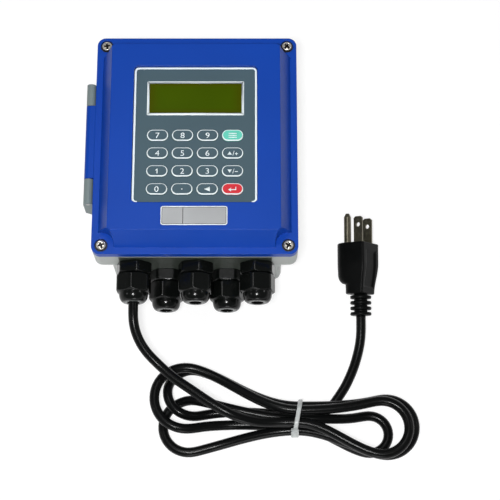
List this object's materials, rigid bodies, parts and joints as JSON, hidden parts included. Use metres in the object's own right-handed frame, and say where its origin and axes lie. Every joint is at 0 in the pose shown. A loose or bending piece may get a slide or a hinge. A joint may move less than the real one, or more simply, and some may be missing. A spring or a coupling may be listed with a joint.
{
  "type": "ultrasonic flow meter",
  "caption": "Wall-mount flow meter electronics: blue hinged lid with display and keypad on a grey case, black cable glands, and a folded mains cord with a plug.",
  "frame": {"origin": "centre of the flat back face, which lies on the wall, or on the ground as pictured", "axes": "+Z out of the front panel, +Y to the top of the meter, +X to its right seen from the front"},
  "size_m": [0.218, 0.2731, 0.0805],
  "materials": {
    "case_grey": "fine moulded satin",
    "lid_blue": "glossy moulded",
    "plate_green_grey": "matt",
    "gland_black": "glossy moulded",
    "rubber_black": "matt",
    "screw_steel": "nickel plated",
    "plain_steel": "satin",
    "washer_dark": "matt",
    "board_green": "solder lacquer",
    "chip_black": "matt",
    "block_green": "satin",
    "winding": "varnished tape",
    "fuse_glass": "clear",
    "capacitor_blue": "shrink sleeve",
    "panel_grey": "satin polyester film",
    "key_green": "satin",
    "key_red": "satin",
    "display_olive": "glossy",
    "label_silver": "satin foil",
    "cord_black": "smooth satin",
    "tie_white": "smooth nylon",
    "plug_black": "moulded satin",
    "blade_brass": "plated, dull"
  },
  "bodies": {
    "case": {"base_shell": "case_grey", "gland_plate": "plate_green_grey", "hinge_pin": "plain_steel", "rim_seal": "rubber_black", "gland_bodies": "gland_black", "gland_locknuts": "gland_black", "gland_seals": "rubber_black", "terminal_board": "board_green", "board_pillars": "plain_steel", "base_board_screws": "screw_steel", "terminal_blocks": "block_green", "terminal_screws": "plain_steel", "transformer_core": "plain_steel", "transformer_coil": "winding", "fuse": "fuse_glass", "capacitors": "capacitor_blue", "mains_wires": "cord_black", "cord_lead": "cord_black", "cord_hank": "cord_black", "cord_tail": "cord_black", "cable_tie": "tie_white", "plug_body": "plug_black", "plug_guard": "plug_black", "plug_blades": "blade_brass", "plug_earth_pin": "blade_brass"},
    "lid": {"lid_shell": "lid_blue", "lid_screws": "screw_steel", "screw_washers": "washer_dark", "panel_overlay": "panel_grey", "key_circuit": "board_green", "snap_domes": "plain_steel", "display_window": "display_olive", "display_module": "chip_black", "main_board": "board_green", "main_board_chips": "chip_black", "main_board_screws": "screw_steel", "label_plate": "label_silver"},
    "key_7": {"key_7": "panel_grey"},
    "key_8": {"key_8": "panel_grey"},
    "key_9": {"key_9": "panel_grey"},
    "key_menu": {"key_menu": "key_green"},
    "key_4": {"key_4": "panel_grey"},
    "key_5": {"key_5": "panel_grey"},
    "key_6": {"key_6": "panel_grey"},
    "key_up": {"key_up": "panel_grey"},
    "key_1": {"key_1": "panel_grey"},
    "key_2": {"key_2": "panel_grey"},
    "key_3": {"key_3": "panel_grey"},
    "key_down": {"key_down": "panel_grey"},
    "key_0": {"key_0": "panel_grey"},
    "key_dot": {"key_dot": "panel_grey"},
    "key_left": {"key_left": "panel_grey"},
    "key_enter": {"key_enter": "key_red"},
    "gland_nut_1": {"gland_nut_1": "gland_black"},
    "gland_nut_2": {"gland_nut_2": "gland_black"},
    "gland_nut_3": {"gland_nut_3": "gland_black"},
    "gland_nut_4": {"gland_nut_4": "gland_black"},
    "gland_nut_5": {"gland_nut_5": "gland_black"}
  },
  "joints": [
    {"name": "lid_hinge", "type": "hinge", "parent": "case", "child": "lid", "pos_m": [-0.0693, 0.0017, 0.0605], "axis": [0, -1, 0], "range_deg": [0, 170]},
    {"name": "key_7_press", "type": "slide", "parent": "lid", "child": "key_7", "axis": [0, 0, -1], "range_m": [0, 0.0003], "stiffness_N_per_m": 5000},
    {"name": "key_8_press", "type": "slide", "parent": "lid", "child": "key_8", "axis": [0, 0, -1], "range_m": [0, 0.0003], "stiffness_N_per_m": 5000},
    {"name": "key_9_press", "type": "slide", "parent": "lid", "child": "key_9", "axis": [0, 0, -1], "range_m": [0, 0.0003], "stiffness_N_per_m": 5000},
    {"name": "key_menu_press", "type": "slide", "parent": "lid", "child": "key_menu", "axis": [0, 0, -1], "range_m": [0, 0.0003], "stiffness_N_per_m": 5000},
    {"name": "key_4_press", "type": "slide", "parent": "lid", "child": "key_4", "axis": [0, 0, -1], "range_m": [0, 0.0003], "stiffness_N_per_m": 5000},
    {"name": "key_5_press", "type": "slide", "parent": "lid", "child": "key_5", "axis": [0, 0, -1], "range_m": [0, 0.0003], "stiffness_N_per_m": 5000},
    {"name": "key_6_press", "type": "slide", "parent": "lid", "child": "key_6", "axis": [0, 0, -1], "range_m": [0, 0.0003], "stiffness_N_per_m": 5000},
    {"name": "key_up_press", "type": "slide", "parent": "lid", "child": "key_up", "axis": [0, 0, -1], "range_m": [0, 0.0003], "stiffness_N_per_m": 5000},
    {"name": "key_1_press", "type": "slide", "parent": "lid", "child": "key_1", "axis": [0, 0, -1], "range_m": [0, 0.0003], "stiffness_N_per_m": 5000},
    {"name": "key_2_press", "type": "slide", "parent": "lid", "child": "key_2", "axis": [0, 0, -1], "range_m": [0, 0.0003], "stiffness_N_per_m": 5000},
    {"name": "key_3_press", "type": "slide", "parent": "lid", "child": "key_3", "axis": [0, 0, -1], "range_m": [0, 0.0003], "stiffness_N_per_m": 5000},
    {"name": "key_down_press", "type": "slide", "parent": "lid", "child": "key_down", "axis": [0, 0, -1], "range_m": [0, 0.0003], "stiffness_N_per_m": 5000},
    {"name": "key_0_press", "type": "slide", "parent": "lid", "child": "key_0", "axis": [0, 0, -1], "range_m": [0, 0.0003], "stiffness_N_per_m": 5000},
    {"name": "key_dot_press", "type": "slide", "parent": "lid", "child": "key_dot", "axis": [0, 0, -1], "range_m": [0, 0.0003], "stiffness_N_per_m": 5000},
    {"name": "key_left_press", "type": "slide", "parent": "lid", "child": "key_left", "axis": [0, 0, -1], "range_m": [0, 0.0003], "stiffness_N_per_m": 5000},
    {"name": "key_enter_press", "type": "slide", "parent": "lid", "child": "key_enter", "axis": [0, 0, -1], "range_m": [0, 0.0003], "stiffness_N_per_m": 5000},
    {"name": "gland_nut_1_turn", "type": "hinge", "parent": "case", "child": "gland_nut_1", "pos_m": [-0.04, -0.0927, 0.042], "axis": [0, -1, 0], "continuous": true},
    {"name": "gland_nut_2_turn", "type": "hinge", "parent": "case", "child": "gland_nut_2", "pos_m": [-0.02, -0.0927, 0.022], "axis": [0, -1, 0], "continuous": true},
    {"name": "gland_nut_3_turn", "type": "hinge", "parent": "case", "child": "gland_nut_3", "pos_m": [0, -0.0927, 0.042], "axis": [0, -1, 0], "continuous": true},
    {"name": "gland_nut_4_turn", "type": "hinge", "parent": "case", "child": "gland_nut_4", "pos_m": [0.02, -0.0927, 0.022], "axis": [0, -1, 0], "continuous": true},
    {"name": "gland_nut_5_turn", "type": "hinge", "parent": "case", "child": "gland_nut_5", "pos_m": [0.04, -0.0927, 0.042], "axis": [0, -1, 0], "continuous": true}
  ]
}
